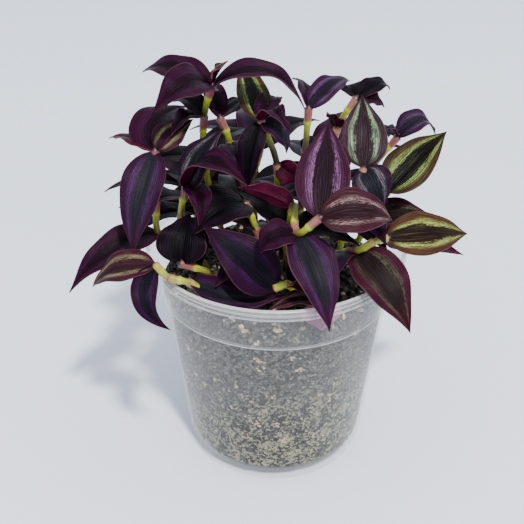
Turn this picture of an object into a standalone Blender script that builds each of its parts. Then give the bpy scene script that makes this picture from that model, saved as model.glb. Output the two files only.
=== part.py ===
"""A potted tradescantia: a clear nursery pot, its potting mix and the leafy stems that stand in it.

Lengths in the tables are millimetres from the centre of the pot's foot, and MM turns them into Blender's
metres. +Z is up and -Y is the side where the longest leaves hang over the rim. At the end everything is
moved so that the whole plant's box stands on the origin.
"""

import math
import random
from collections import namedtuple

import bmesh
import bpy
from mathutils import Matrix, Vector
from mathutils.bvhtree import BVHTree

MM = 0.001
UP = Vector((0, 0, 1))

# The pot
RIM_R = 60.0  # outside of the rolled lip
POT_H = 110.8
LIP_H = 4.8
WALL = 1.0
COLLAR_TOP_R = 57.8  # outside of the collar under the lip
COLLAR_FOOT_R = 54.2
LEDGE_Z = 87.4  # where the collar steps in to the lower wall
SHOULDER_R = 52.6
HEEL_R = 43.6  # outside of the wall where it rounds under
HEEL_Z = 8.0
FOOT_R = 40.4
FLOOR_Z = 4.5  # underside of the raised floor
POT_SIDES = 40
FOOT_GAP_ANGLES = (231, 351, 111)  # degrees
FOOT_GAP_WIDTH = 17.0
FOOT_GAP_HEIGHT = 2.8
DRAIN_R = 1.9
DRAIN_RING_R = 24.0
DRAIN_COUNT = 8

# The potting mix
SEAT_GAP = 0.3
SOIL_Z = 98.0
SOIL_TOP = [(0, SOIL_Z), (22, 97.6), (38, 96.5), (48, 94.0)]  # radius and height: it sinks towards the wall
SOIL_EDGE_Z = 92.0
SOIL_SIDES = 24
HOLE_DEPTH = 12.0

# The plant
STEM_R = 1.45
NODE_R = 1.85
SHEATH_R = 1.95
SHEATH_LENGTH = 6.5
MIN_BARE_ROOM = 9.0  # nodes closer than this have no bare stem between them
BUD_LENGTH = 1.8
STEM_RESOLUTION = 1  # six sides
BLADE = 0.8  # thickness
BLADE_CLEARANCE = 0.35  # kept on each face of a blade
MARGIN_CLEARANCE = 0.5  # kept along each margin
TUBE_CLEARANCE = 0.3  # kept round a stem
LEAF_GRID = (5, 4)  # rows and columns
FILLER_GRID = (4, 2)
BLADE_NECK = 1.3  # half-width at the very base, inside the stem
BASE_STEP = 0.25  # leaves of one node start this much further out in turn
WIDEST = 0.62  # exponents of the outline: rounded base, drawn-out tip
TAPER = 1.28

# at: the node that the leaf grows from; tip: where its point is; arch and sweep: how far the midrib bows
# up and sideways from a straight line; hook: below 1 the tip turns down; roll, twist: degrees about the
# midrib; fold: how far the halves rise from the midrib, in radians; wave: height of the waved margin;
# filler leaves take the room that the others leave.
Leaf = namedtuple(
    "Leaf",
    "at tip width arch sweep hook roll twist fold wave filler",
    defaults=(4.0, 0.0, 1.0, 0.0, 0.0, 0.30, 0.7, False),
)
Stem = namedtuple("Stem", "nodes leaves")

# How a leaf that would touch another stem is moved: (scale, yaw, pitch), tried in this order.
TURN_SIGNS = [(0, 1), (0, -1), (1, 0), (-1, 0), (1, 1), (-1, 1), (1, -1), (-1, -1)]
TURNS = [(1.0, 0, 0)] + [
    (scale, size * yaw_sign, size * pitch_sign)
    for scale in (1.0, 0.9, 0.75, 0.6)
    for size in (4, 8, 13, 18)
    for yaw_sign, pitch_sign in TURN_SIGNS
]

# Stems that are hidden behind the others: root x, root y, height of the top node and the way that they
# lean, in degrees.
BACK_ROOTS = {
    "r": (-36, 24, 119, 122),
    "s": (-10, 42, 131, 98),
    "t": (18, 42, 122, 64),
}
# Their leaves: node, turn from the lean and lift, in degrees.
BACK_FAN = [(2, -50, 4), (2, 4, 10), (2, 55, 0), (1, -75, -2), (1, 30, -6), (1, 85, -3)]
GOLDEN_ANGLE = math.radians(137.5)
CANOPY_R = 36.0

STEMS = {
    "a": Stem(
        [(-24, 18, 98), (-29, 16, 120), (-33, 12, 146), (-32, 9, 168), (-28, 5, 184)],
        [
            Leaf(4, (-60, 26, 182), 15, 7, roll=-25),
            Leaf(4, (-52, -14, 179), 21, 9, roll=-22),
            Leaf(4, (12, 5, 173), 16, 13, roll=12, fold=0.5),
            Leaf(4, (-21, 5, 195), 11, 1, fold=0.6),
            Leaf(3, (-50, 20, 168), 14, 6),
            Leaf(3, (-46, -2, 163), 12, 5),
        ],
    ),
    "b": Stem(
        [(-13, 14, 98), (-16, 13, 125), (-21, 10, 155), (-25, 10, 167)],
        [
            Leaf(3, (-31, 34, 175), 11, 4),
            Leaf(3, (-11, 28, 167), 11, 3),
            Leaf(2, (-12, -8, 144), 17, 6, roll=10),
        ],
    ),
    "c": Stem(
        [(3, 10, 98), (0, 8, 124), (0, 3, 148), (-7, 0, 170)],
        [
            Leaf(3, (-16, 38, 182), 15, 2, roll=-10),
            Leaf(3, (4, -12, 170), 12, 7),
            Leaf(3, (4, -3, 156), 13, 5, roll=20),
            Leaf(2, (12, 4, 141), 12, 3, roll=90),
            Leaf(3, (-12, -8, 140), 13, 5),
            Leaf(3, (2, 20, 170), 12, 6),
        ],
    ),
    "d": Stem(
        [(10, 16, 98), (12, 16, 124), (13, 14, 149), (14, 13, 170)],
        [
            Leaf(3, (34, 38, 173), 13, 6, roll=15),
            Leaf(3, (7, 36, 175), 12, 4, roll=30),
            Leaf(2, (21, 26, 149), 10, 2),
        ],
    ),
    "e": Stem(
        [(20, 22, 98), (23, 24, 128), (28, 25, 155), (36, 25, 170)],
        [
            Leaf(3, (53, 40, 168), 10, 6, roll=20),
            Leaf(3, (49, 26, 165), 12, 3, roll=20),
            Leaf(3, (31, 42, 169), 12, 4),
            Leaf(2, (22, 16, 166), 9, 2),
        ],
    ),
    "f": Stem(
        [(4, -6, 98), (5, -12, 122), (7, -22, 140), (8, -38, 136), (17, -43, 146)],
        [
            Leaf(4, (22, 1, 169), 24, 3),
            Leaf(4, (48, -33, 139), 21, 8, roll=38),
            Leaf(3, (21, -65, 105), 22, 5),
            Leaf(3, (-8, -41, 127), 15, 7, roll=-25),
            Leaf(2, (-17, -22, 149), 11, 3, roll=80),
        ],
    ),
    "g": Stem(
        [(22, -14, 98), (27, -20, 115), (34, -31, 123), (41, -30, 127), (47, -25, 126)],
        [
            Leaf(2, (56, -55, 97), 24, 6, roll=15),
            Leaf(4, (87, -4, 116), 21, 4, roll=48),
            Leaf(4, (88, 2, 101), 14, 3, roll=-75),
        ],
    ),
    "h": Stem(
        [(28, -2, 98), (31, -5, 120), (35, -8, 137), (38, -4, 149)],
        [
            Leaf(3, (47, -13, 134), 19, 3, roll=35),
            Leaf(2, (45, -31, 121), 15, 3, roll=10),
            Leaf(3, (38, 20, 174), 22, 2),
        ],
    ),
    "i": Stem(
        [(36, 8, 98), (42, 5, 116), (49, -3, 137)],
        [
            Leaf(2, (78, 22, 155), 22, 3, roll=22),
            Leaf(1, (72, 6, 119), 18, 8, roll=40),
            Leaf(1, (44, 18, 140), 17, 2, filler=True),
        ],
    ),
    "j": Stem(
        [(30, 32, 98), (41, 37, 121), (58, 38, 145)],
        [
            Leaf(2, (77, 45, 143), 17, 9, roll=10),
            Leaf(2, (49, 36, 149), 7, 3),
            Leaf(2, (58, 70, 130), 17, 5, filler=True),
            Leaf(1, (32, 66, 112), 17, 5, filler=True),
        ],
    ),
    "k": Stem(
        [(-38, 2, 98), (-47, 0, 108), (-54, -3, 116), (-54, -3, 133), (-53, -3, 157)],
        [
            Leaf(2, (-93, -24, 97), 20, 8, roll=-12),
            Leaf(3, (-33, 6, 120), 16, 4),
            Leaf(4, (-63, -25, 118), 20, 7, roll=-10),
            Leaf(4, (-38, 9, 169), 15, 2, roll=20),
            Leaf(4, (-40, 27, 167), 24, 4, sweep=-6),
            Leaf(4, (-76, 17, 154), 12, 3),
        ],
    ),
    "l": Stem(
        [(-32, -4, 98), (-40, -5, 112), (-43, -6, 126), (-40, -5, 141)],
        [
            Leaf(3, (-23, 1, 166), 18, 3, roll=25),
            Leaf(3, (-10, -22, 147), 18, 13, roll=8),
            Leaf(3, (-34, -25, 131), 12, 6, sweep=-3),
            Leaf(2, (-33, -24, 110), 16, 4),
        ],
    ),
    "m": Stem(
        [(-4, -8, 98), (-6, -13, 112), (-9, -12, 123), (-14, -8, 134)],
        [
            Leaf(3, (-37, -25, 131), 25, 6, roll=-15),
        ],
    ),
    "n": Stem(
        [(10, -32, 98), (8, -34, 105), (4, -37, 110), (-1, -37, 108)],
        [
            Leaf(3, (-32, -28, 134), 24, 3, roll=-42),
        ],
    ),
    "o": Stem(
        [(-27, -32, 98), (-33, -37, 107), (-38, -40, 113), (-46, -41, 116), (-52, -36, 119)],
        [
            Leaf(4, (-45, -53, 97), 12, 2, sweep=9),
            Leaf(4, (-81, -30, 104), 17, 6, roll=-25),
            Leaf(2, (3, -52, 119), 17, -7, roll=20),
        ],
    ),
    "p": Stem(
        [(-22, -20, 98), (-29, -25, 108), (-42, -28, 115)],
        [
            Leaf(2, (-39, -14, 133), 24, 3),
        ],
    ),
    "q": Stem(
        [(14, -38, 98), (18, -42, 104)],
        [
            Leaf(1, (-4, -53, 107), 12, 3),
            Leaf(1, (4, -42, 112), 7, 2),
            Leaf(1, (19, -49, 94), 19, 1),
        ],
    ),
}


def smooth_line(nodes, steps=12):
    """Points of a Catmull-Rom curve through the nodes, with the index of each node among them."""
    points = [Vector(n) for n in nodes]
    ends = [2 * points[0] - points[1], *points, 2 * points[-1] - points[-2]]
    line, at_node = [], []
    for before, start, end, after in zip(ends, ends[1:], ends[2:], ends[3:]):
        at_node.append(len(line))
        for step in range(steps):
            t = step / steps
            line.append(
                0.5
                * (
                    2 * start
                    + (end - before) * t
                    + (2 * before - 5 * start + 4 * end - after) * t**2
                    + (3 * start - before - 3 * end + after) * t**3
                )
            )
    at_node.append(len(line))
    line.append(points[-1])
    return line, at_node


def point_back(line, index, distance):
    """The point that lies distance before line[index], measured along the line."""
    while index > 0:
        step = (line[index] - line[index - 1]).length
        if step >= distance:
            return line[index].lerp(line[index - 1], distance / step)
        distance -= step
        index -= 1
    return line[0]


def stem_sections(nodes):
    """(centre, radius) from the root up: bare stem, swollen node and flared sheath under each leaf."""
    line, at_node = smooth_line(nodes)
    root = line[0] - UP * (HOLE_DEPTH - SEAT_GAP)
    sections = [(root, STEM_R), (line[0], STEM_R)]
    for start, end in zip(at_node, at_node[1:]):
        room = (line[end] - line[start]).length
        sheath = min(SHEATH_LENGTH, 0.5 * room)
        if room > MIN_BARE_ROOM:
            sections.append((point_back(line, end, sheath + 1.8), STEM_R))
        sections.append((point_back(line, end, sheath), NODE_R))
        sections.append((line[end], SHEATH_R))
        if end != at_node[-1]:
            sections.append((line[end].lerp(line[end + 2], 0.9), STEM_R))
    bud = (line[-1] - line[-2]).normalized() * BUD_LENGTH
    sections.append((line[-1] + bud, STEM_R * 0.6))
    return sections


def blade_axes(base, tip, roll):
    """Along the leaf, out of its upper face, and to its side."""
    along = (tip - base).normalized()
    face = (UP - along * along.dot(UP)).normalized()
    face = Matrix.Rotation(math.radians(roll), 3, along) @ face
    return along, face, along.cross(face)


def half_width(leaf, t):
    widest = WIDEST / (WIDEST + TAPER)
    peak = widest**WIDEST * (1 - widest) ** TAPER
    outline = t**WIDEST * (1 - t) ** TAPER / peak
    return max(leaf.width / 2 * outline, BLADE_NECK * (1 - t) ** 4)


def midrib(leaf, base, tip, t):
    _, face, side = blade_axes(base, tip, leaf.roll)
    bow = t * (1 - t) ** leaf.hook
    top = 1 / (1 + leaf.hook)
    bow /= top * (1 - top) ** leaf.hook
    return base.lerp(tip, t) + (face * leaf.arch + side * leaf.sweep) * bow


def blade_frame(leaf, base, tip, t):
    """The leaf's midrib point, the directions to its side and out of its face, and its half-width there."""
    centre = midrib(leaf, base, tip, t)
    ahead = midrib(leaf, base, tip, min(t + 0.02, 1.0)) - midrib(leaf, base, tip, max(t - 0.02, 0.0))
    side = Matrix.Rotation(math.radians(leaf.twist * t), 3, ahead) @ blade_axes(base, tip, leaf.roll)[2]
    face = side.cross(ahead).normalized()
    return centre, ahead.cross(face).normalized(), face, half_width(leaf, t)


def across_blade(leaf, spot, t, u):
    """A point of the leaf's middle surface, u going from one margin (-1) to the other (1)."""
    centre, side, face, half = spot
    across = half * abs(u)
    rise = across * math.sin(leaf.fold) - 0.35 * half * math.sin(leaf.fold) * u * u
    wave = leaf.wave * math.sin(2 * math.pi * (2.3 * t + 0.17 * leaf.width) + (1.4 if u > 0 else 0.0))
    rise += wave * u * u * math.sin(math.pi * t)
    return centre + side * math.copysign(across * math.cos(leaf.fold), u) + face * rise


def blade_mesh(leaf, base, tip, thickness):
    """A closed bmesh of the blade, in millimetres: a grid bent to the leaf's form, given its thickness."""
    rows, columns = FILLER_GRID if leaf.filler else LEAF_GRID
    mesh = bmesh.new()
    bmesh.ops.create_grid(mesh, x_segments=columns, y_segments=rows, size=1.0)
    for vertex in mesh.verts:
        u, t = vertex.co.x, min(max((vertex.co.y + 1) / 2, 0.0), 1.0) ** 1.25
        vertex.co = across_blade(leaf, blade_frame(leaf, base, tip, t), t, u)
    bmesh.ops.remove_doubles(mesh, verts=mesh.verts, dist=0.001)
    bmesh.ops.triangulate(mesh, faces=mesh.faces)
    mesh.normal_update()
    shifts = [vertex.normal * (thickness / 2) for vertex in mesh.verts]
    for vertex, shift in zip(mesh.verts, shifts):
        vertex.co += shift
    bmesh.ops.solidify(mesh, geom=mesh.faces, thickness=thickness)
    bmesh.ops.recalc_face_normals(mesh, faces=mesh.faces)
    return mesh


def turned_tip(base, tip, yaw, pitch, scale):
    """The tip after the leaf turns about the vertical and lifts, both in degrees."""
    chord = (tip - base) * scale
    chord = Matrix.Rotation(math.radians(yaw), 3, UP) @ chord
    level = chord.cross(UP)
    return base + Matrix.Rotation(math.radians(pitch), 3, level) @ chord


def with_back_stems(stems):
    """The front stems and, before them, plainer ones that fill by rule the side away from the front."""
    rng = random.Random(7)
    plant = {}
    for name, (x, y, top, lean) in BACK_ROOTS.items():
        out = math.radians(lean)
        nodes = [(x, y, SOIL_Z)]
        for step in (1, 2):
            swing = out + rng.uniform(-0.4, 0.4)
            reach = 6.0 * step
            height = SOIL_Z + (top - SOIL_Z) * step / 2
            nodes.append((x + reach * math.cos(swing), y + reach * math.sin(swing), height))
        leaves = []
        for at, turn, lift in BACK_FAN:
            azimuth = out + math.radians(turn + rng.uniform(-10, 10))
            length = rng.uniform(38, 47)
            rise = math.radians(lift + rng.uniform(-7, 7))
            level = length * math.cos(rise)
            base = nodes[at]
            tip = (
                base[0] + level * math.cos(azimuth),
                base[1] + level * math.sin(azimuth),
                base[2] + length * math.sin(rise),
            )
            leaves.append(Leaf(at, tip, rng.uniform(15.5, 19.5), rng.uniform(4, 8), filler=True))
        plant[name] = Stem(nodes, leaves)
    return {**plant, **stems}


def with_lower_leaves(stems):
    """Gives the bare nodes in the middle of the plant two leaves each, turned by the golden angle."""
    plant = {}
    turn = 0.0
    for name, stem in stems.items():
        leaves = list(stem.leaves)
        for at in range(1, len(stem.nodes)):
            x, y, z = stem.nodes[at]
            if math.hypot(x, y) > CANOPY_R or any(leaf.at == at for leaf in stem.leaves):
                continue
            for _ in range(2):
                turn += GOLDEN_ANGLE
                tip = (x + 33 * math.cos(turn), y + 33 * math.sin(turn), z + 7 * math.sin(3 * turn))
                leaves.append(Leaf(at, tip, 17, 4.5, filler=True))
        plant[name] = Stem(stem.nodes, leaves)
    return plant


def tree_of(mesh):
    tree = BVHTree.FromBMesh(mesh)
    mesh.free()
    return tree


def tube_mesh(sections, sides, extra=0.0):
    """A closed bmesh round the sections, used to keep leaves off stems."""
    mesh = bmesh.new()
    rings = []
    for (centre, radius), (ahead, _) in zip(sections, [*sections[1:], sections[-1]]):
        axis = (ahead - centre) if (ahead - centre).length > 0.01 else axis
        spin = UP.rotation_difference(axis).to_matrix()
        ring = []
        for side in range(sides):
            angle = 2 * math.pi * side / sides
            spoke = Vector((math.cos(angle), math.sin(angle), 0)) * (radius + extra)
            ring.append(mesh.verts.new(centre + spin @ spoke))
        rings.append(ring)
    for low, high in zip(rings, rings[1:]):
        for side in range(sides):
            after = (side + 1) % sides
            mesh.faces.new((low[side], low[after], high[after], high[side]))
    mesh.faces.new(rings[0][::-1])
    mesh.faces.new(rings[-1])
    bmesh.ops.triangulate(mesh, faces=mesh.faces)
    return mesh


def lathe_mesh(profile, sides):
    mesh = bmesh.new()
    verts = [mesh.verts.new((radius, 0, z)) for radius, z in profile]
    edges = [mesh.edges.new(pair) for pair in zip(verts, verts[1:])]
    bmesh.ops.spin(
        mesh, geom=verts + edges, axis=UP, cent=(0, 0, 0), angle=2 * math.pi, steps=sides, use_merge=True
    )
    bmesh.ops.triangulate(mesh, faces=mesh.faces)
    return mesh


def clear_leaves(stems):
    """{stem: [(leaf, base, tip)]}, each leaf turned or shortened until it touches no other stem."""
    pot = tree_of(lathe_mesh(pot_profile(), POT_SIDES))
    soil = tree_of(lathe_mesh(soil_profile(), SOIL_SIDES))
    in_the_way = [("pot", pot), ("soil", soil)]
    for name, stem in stems.items():
        in_the_way.append((name, tree_of(tube_mesh(stem_sections(stem.nodes), 8, TUBE_CLEARANCE))))
    wanted = [(name, leaf, rank) for name, stem in stems.items() for rank, leaf in enumerate(stem.leaves)]
    placed = {name: [] for name in stems}
    shell = BLADE + 2 * BLADE_CLEARANCE
    for name, leaf, rank in sorted(wanted, key=lambda entry: entry[1].filler):
        base, aim = Vector(stems[name].nodes[leaf.at]), Vector(leaf.tip)
        base += (aim - base).normalized() * BASE_STEP * (rank % 4)
        for scale, yaw, pitch in TURNS:
            fit = leaf._replace(width=leaf.width * scale)
            tip = turned_tip(base, aim, yaw, pitch, scale)
            wide = fit._replace(width=fit.width + 2 * MARGIN_CLEARANCE)
            tree = tree_of(blade_mesh(wide, base, tip, shell))
            if any(other != name and tree.overlap(thing) for other, thing in in_the_way):
                continue
            in_the_way.append((name, tree))
            placed[name].append((fit, base, tip))
            break
    return placed


def new_object(name, mesh, collection):
    """An object whose mesh is given in millimetres as a bmesh."""
    bmesh.ops.scale(mesh, vec=(MM, MM, MM), verts=mesh.verts)
    data = bpy.data.meshes.new(name)
    mesh.to_mesh(data)
    mesh.free()
    thing = bpy.data.objects.new(name, data)
    collection.objects.link(thing)
    return thing


def apply_modifiers(thing):
    depsgraph = bpy.context.evaluated_depsgraph_get()
    data = bpy.data.meshes.new_from_object(thing.evaluated_get(depsgraph))
    thing.modifiers.clear()
    thing.data = data
    return thing


def union_of(thing, pieces):
    """Fuses a collection's objects onto the thing and removes them."""
    fuse = thing.modifiers.new("fuse", "BOOLEAN")
    fuse.operation = "UNION"
    fuse.solver = "EXACT"
    fuse.operand_type = "COLLECTION"
    fuse.collection = pieces
    apply_modifiers(thing)
    for piece in list(pieces.objects):
        bpy.data.objects.remove(piece)
    bpy.data.collections.remove(pieces)
    return thing


def cut_by(thing, cutters):
    cut = thing.modifiers.new("cut", "BOOLEAN")
    cut.operation = "DIFFERENCE"
    cut.solver = "EXACT"
    cut.operand_type = "COLLECTION"
    cut.collection = cutters


def turned(name, profile, sides, collection):
    """A solid of revolution: the profile, in millimetres, spun by a Screw modifier."""
    mesh = bmesh.new()
    verts = [mesh.verts.new((radius, 0, z)) for radius, z in profile]
    for pair in zip(verts, verts[1:]):
        mesh.edges.new(pair)
    thing = new_object(name, mesh, collection)
    screw = thing.modifiers.new("turn", "SCREW")
    screw.axis = "Z"
    screw.angle = 2 * math.pi
    screw.steps = screw.render_steps = sides
    screw.use_merge_vertices = True
    screw.merge_threshold = 0.00001
    screw.use_smooth_shade = True
    return thing


def cylinder(name, radius, bottom, top, sides, collection):
    mesh = bmesh.new()
    place = Matrix.Translation((bottom + top) / 2)
    bmesh.ops.create_cone(
        mesh,
        cap_ends=True,
        segments=sides,
        radius1=radius,
        radius2=radius,
        depth=(top - bottom).length,
        matrix=place,
    )
    return new_object(name, mesh, collection)


def inner_profile():
    """Inside of the pot's wall, from the floor up to the lip."""
    return [
        (FOOT_R - 1.0, FLOOR_Z + WALL),
        (HEEL_R - WALL, HEEL_Z + 1.0),
        (SHOULDER_R - WALL, LEDGE_Z - 1.2),
        (COLLAR_FOOT_R - WALL, LEDGE_Z + 0.8),
        (COLLAR_TOP_R - WALL, POT_H - LIP_H),
    ]


def pot_profile():
    """From the middle of the floor up the inside, over the lip, down the outside and under the foot."""
    return [
        (0, FLOOR_Z + WALL),
        *inner_profile(),
        (57.6, POT_H - 0.6),
        (58.1, POT_H),
        (RIM_R - 0.6, POT_H),
        (RIM_R, POT_H - 0.7),
        (RIM_R, POT_H - LIP_H + 0.6),
        (RIM_R - 0.7, POT_H - LIP_H),
        (COLLAR_TOP_R, POT_H - LIP_H - 0.3),
        (COLLAR_FOOT_R, LEDGE_Z),
        (SHOULDER_R, LEDGE_Z - 0.7),
        (HEEL_R, HEEL_Z),
        (FOOT_R + 1.3, 3.0),
        (FOOT_R, 0),
        (FOOT_R - 1.2, 0),
        (FOOT_R - 1.2, FLOOR_Z),
        (0, FLOOR_Z),
    ]


def soil_profile():
    """A crowned top, then down a wall that stays clear of the pot's."""
    wall = [(radius - SEAT_GAP, z) for radius, z in inner_profile()]
    low, high = wall[3], wall[4]
    part_way = (SOIL_EDGE_Z - low[1]) / (high[1] - low[1])
    edge = low[0] + (high[0] - low[0]) * part_way - 0.1
    top = [*SOIL_TOP, (edge - 1.5, SOIL_EDGE_Z + 0.3), (edge, SOIL_EDGE_Z - 0.8)]
    floor = FLOOR_Z + WALL + SEAT_GAP
    return [*top, *wall[3:0:-1], (wall[0][0] - 0.2, floor), (0, floor)]


def make_pot(collection, cutters):
    pot = turned("pot", pot_profile(), POT_SIDES, collection)
    for index in range(DRAIN_COUNT):
        angle = 2 * math.pi * (index + 0.5) / DRAIN_COUNT
        centre = Vector((DRAIN_RING_R * math.cos(angle), DRAIN_RING_R * math.sin(angle), FLOOR_Z))
        cylinder(f"drain_{index + 1}", DRAIN_R, centre - UP * 2, centre + UP * 3, 10, cutters)
    for index, azimuth in enumerate(FOOT_GAP_ANGLES):
        mesh = bmesh.new()
        bmesh.ops.create_cube(mesh, size=1.0)
        bmesh.ops.scale(mesh, vec=(10, FOOT_GAP_WIDTH, 2 * FOOT_GAP_HEIGHT), verts=mesh.verts)
        spin = Matrix.Rotation(math.radians(azimuth), 4, "Z")
        bmesh.ops.transform(mesh, matrix=spin @ Matrix.Translation((FOOT_R, 0, 0)), verts=mesh.verts)
        new_object(f"foot_gap_{index + 1}", mesh, cutters)
    cut_by(pot, cutters)
    apply_modifiers(pot)
    return pot


def make_soil(stems, collection, cutters):
    soil = turned("potting_mix", soil_profile(), SOIL_SIDES, collection)
    for name, stem in stems.items():
        foot = Vector(stem.nodes[0])
        cylinder(f"hole_{name}", STEM_R + SEAT_GAP, foot - UP * HOLE_DEPTH, foot + UP * 3, 8, cutters)
    cut_by(soil, cutters)
    apply_modifiers(soil)
    return soil


def make_stem_tube(name, sections, collection):
    curve = bpy.data.curves.new(name, "CURVE")
    curve.dimensions = "3D"
    curve.bevel_depth = MM
    curve.bevel_resolution = STEM_RESOLUTION
    curve.use_fill_caps = True
    spline = curve.splines.new("POLY")
    spline.points.add(len(sections) - 1)
    for point, (centre, radius) in zip(spline.points, sections):
        point.co = (*(centre * MM), 1.0)
        point.radius = radius
    rod = bpy.data.objects.new(f"{name}_line", curve)
    collection.objects.link(rod)
    data = bpy.data.meshes.new_from_object(rod.evaluated_get(bpy.context.evaluated_depsgraph_get()))
    mesh = bmesh.new()
    mesh.from_mesh(data)
    mesh.transform(rod.matrix_world)
    bmesh.ops.remove_doubles(mesh, verts=mesh.verts, dist=0.00001)
    bmesh.ops.recalc_face_normals(mesh, faces=mesh.faces)
    bpy.data.objects.remove(rod)
    bpy.data.curves.remove(curve)
    mesh.to_mesh(data)
    mesh.free()
    tube = bpy.data.objects.new(name, data)
    collection.objects.link(tube)
    return tube


def make_leafy_stem(name, stem, blades, collection):
    tube = make_stem_tube(name, stem_sections(stem.nodes), collection)
    pieces = bpy.data.collections.new(f"{name}_blades")
    bpy.context.scene.collection.children.link(pieces)
    for index, (leaf, base, tip) in enumerate(blades):
        mesh = blade_mesh(leaf, base, tip, BLADE)
        new_object(f"{name}_blade_{index + 1}", mesh, pieces)
    return union_of(tube, pieces)


def material(name, color, roughness, alpha=1.0):
    made = bpy.data.materials.new(name)
    made.use_nodes = True
    shader = made.node_tree.nodes["Principled BSDF"]
    shader.inputs["Base Color"].default_value = (*color, 1.0)
    shader.inputs["Roughness"].default_value = roughness
    shader.inputs["Alpha"].default_value = alpha
    return made


def dress(thing, made, crease):
    thing.data.materials.clear()
    thing.data.materials.append(made)
    thing.data.shade_smooth()
    thing.data.set_sharp_from_angle(angle=math.radians(crease))


def centre_on_origin(things):
    """Moves everything so that the whole plant's box stands on the origin."""
    spots = [vertex.co for thing in things for vertex in thing.data.vertices]
    low, high = (Vector(pick(spot[axis] for spot in spots) for axis in range(3)) for pick in (min, max))
    shift = Matrix.Translation((-(low.x + high.x) / 2, -(low.y + high.y) / 2, -low.z))
    for thing in things:
        thing.data.transform(shift)


def new_collection(name, hidden=False):
    collection = bpy.data.collections.new(name)
    collection.hide_render = hidden
    bpy.context.scene.collection.children.link(collection)
    return collection


def main():
    for thing in list(bpy.data.objects):
        bpy.data.objects.remove(thing)
    body = new_collection("potted_tradescantia")
    stems = with_lower_leaves(with_back_stems(STEMS))
    blades = clear_leaves(stems)

    pot = make_pot(body, new_collection("pot_cutters", hidden=True))
    soil = make_soil(stems, body, new_collection("soil_cutters", hidden=True))
    dress(pot, material("clear_pot", (0.72, 0.76, 0.80), 0.3, 0.35), 30)
    dress(soil, material("potting_mix", (0.10, 0.08, 0.06), 0.95), 40)
    leafy = []
    for name, stem in stems.items():
        made = make_leafy_stem(f"leafy_stem_{name}", stem, blades[name], body)
        dress(made, material(f"leafy_stem_{name}", (0.13, 0.07, 0.12), 0.45), 50)
        leafy.append(made)
    for cutter in list(bpy.data.objects):
        if cutter not in (pot, soil, *leafy):
            cutter.display_type = "WIRE"
            cutter.hide_render = True
    centre_on_origin([pot, soil, *leafy])


if __name__ == "__main__":
    main()
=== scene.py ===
"""Looks for the potted tradescantia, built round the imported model.

The leafy stems, the pot and the potting mix are made again from the same tables and rules as the solids, with
finer meshes: striped blades, hairy sheaths, a lathe-turned clear pot and loose grains of bark and perlite.
Lengths are millimetres from the pot's own axis, and place() turns them into the frame's metres.
"""

import random
from collections import defaultdict, namedtuple
from math import copysign, cos, exp, hypot, pi, radians, sin, sqrt, tau

import bmesh
import bpy
import numpy as np
from mathutils import Matrix, Vector, noise
from mathutils.bvhtree import BVHTree


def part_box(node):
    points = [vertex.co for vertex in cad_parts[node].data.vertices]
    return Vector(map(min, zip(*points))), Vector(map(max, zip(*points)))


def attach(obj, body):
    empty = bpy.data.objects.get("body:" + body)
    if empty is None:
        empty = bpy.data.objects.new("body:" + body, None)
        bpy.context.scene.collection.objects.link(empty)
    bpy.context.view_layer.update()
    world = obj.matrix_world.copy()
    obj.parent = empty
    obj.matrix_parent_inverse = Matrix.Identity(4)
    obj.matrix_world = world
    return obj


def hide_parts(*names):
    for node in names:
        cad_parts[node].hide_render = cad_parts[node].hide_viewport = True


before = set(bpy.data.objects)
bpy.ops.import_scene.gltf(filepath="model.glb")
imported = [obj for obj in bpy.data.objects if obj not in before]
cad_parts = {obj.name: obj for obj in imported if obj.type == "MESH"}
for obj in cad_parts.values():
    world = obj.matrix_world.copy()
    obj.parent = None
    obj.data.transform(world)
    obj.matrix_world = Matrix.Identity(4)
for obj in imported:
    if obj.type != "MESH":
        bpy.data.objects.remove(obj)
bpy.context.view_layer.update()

MM = 0.001
UP = Vector((0, 0, 1))
pot_low, pot_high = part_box("pot")
POT_AXIS = Vector(((pot_low.x + pot_high.x) / 2, (pot_low.y + pot_high.y) / 2, 0.0))

# Camera, light and floor: the camera in millimetres, the others in metres.
CAMERA_SENSOR = 36.0
CAMERA_LENS = 68.7
CAMERA_AIM = (-6.6, 0, 98.5)
CAMERA_ELEVATION = 31.66  # degrees
CAMERA_DISTANCE = 468.0
WORLD_COLOR = (0.88, 0.93, 1.0, 1.0)
WORLD_STRENGTH = 1.40
KEY_FROM = (0.40, -1.40, 2.16)  # from the heart of the plant
KEY_SIZE = 0.22
KEY_POWER = 114.0
KEY_COLOR = (1.0, 0.985, 0.96)
FLOOR_HALF = 3.0
FLOOR_ROWS = 40
FLOOR_BEND_Y = 1.2  # where it starts to curve up

# The pot
RIM_R = 60.0  # outside of the rolled lip
POT_H = 110.8
LIP_H = 4.8
LIP_LOW = POT_H - LIP_H
WALL = 1.0
COLLAR_TOP_R = 57.8  # outside of the collar under the lip
COLLAR_FOOT_R = 54.2
LEDGE_Z = 87.4  # where the collar steps in to the lower wall
SHOULDER_R = 52.6
HEEL_R = 43.6  # outside of the wall where it rounds under
HEEL_Z = 8.0
FOOT_R = 40.4
FLOOR_Z = 4.5  # underside of the raised floor
POT_SIDES = 40
FOOT_GAP_ANGLES = (231, 351, 111)  # degrees
FOOT_GAP_WIDTH, FOOT_GAP_HEIGHT = 17.0, 2.8
DRAIN_R, DRAIN_RING_R, DRAIN_COUNT = 1.9, 24.0, 8

# The potting mix
SEAT_GAP = 0.3
SOIL_Z = 98.0
SOIL_TOP = [(0, SOIL_Z), (22, 97.6), (38, 96.5), (48, 94.0)]  # radius and height: it sinks towards the wall
SOIL_EDGE_Z = 92.0
SOIL_SIDES = 24
HOLE_DEPTH = 12.0

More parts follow.
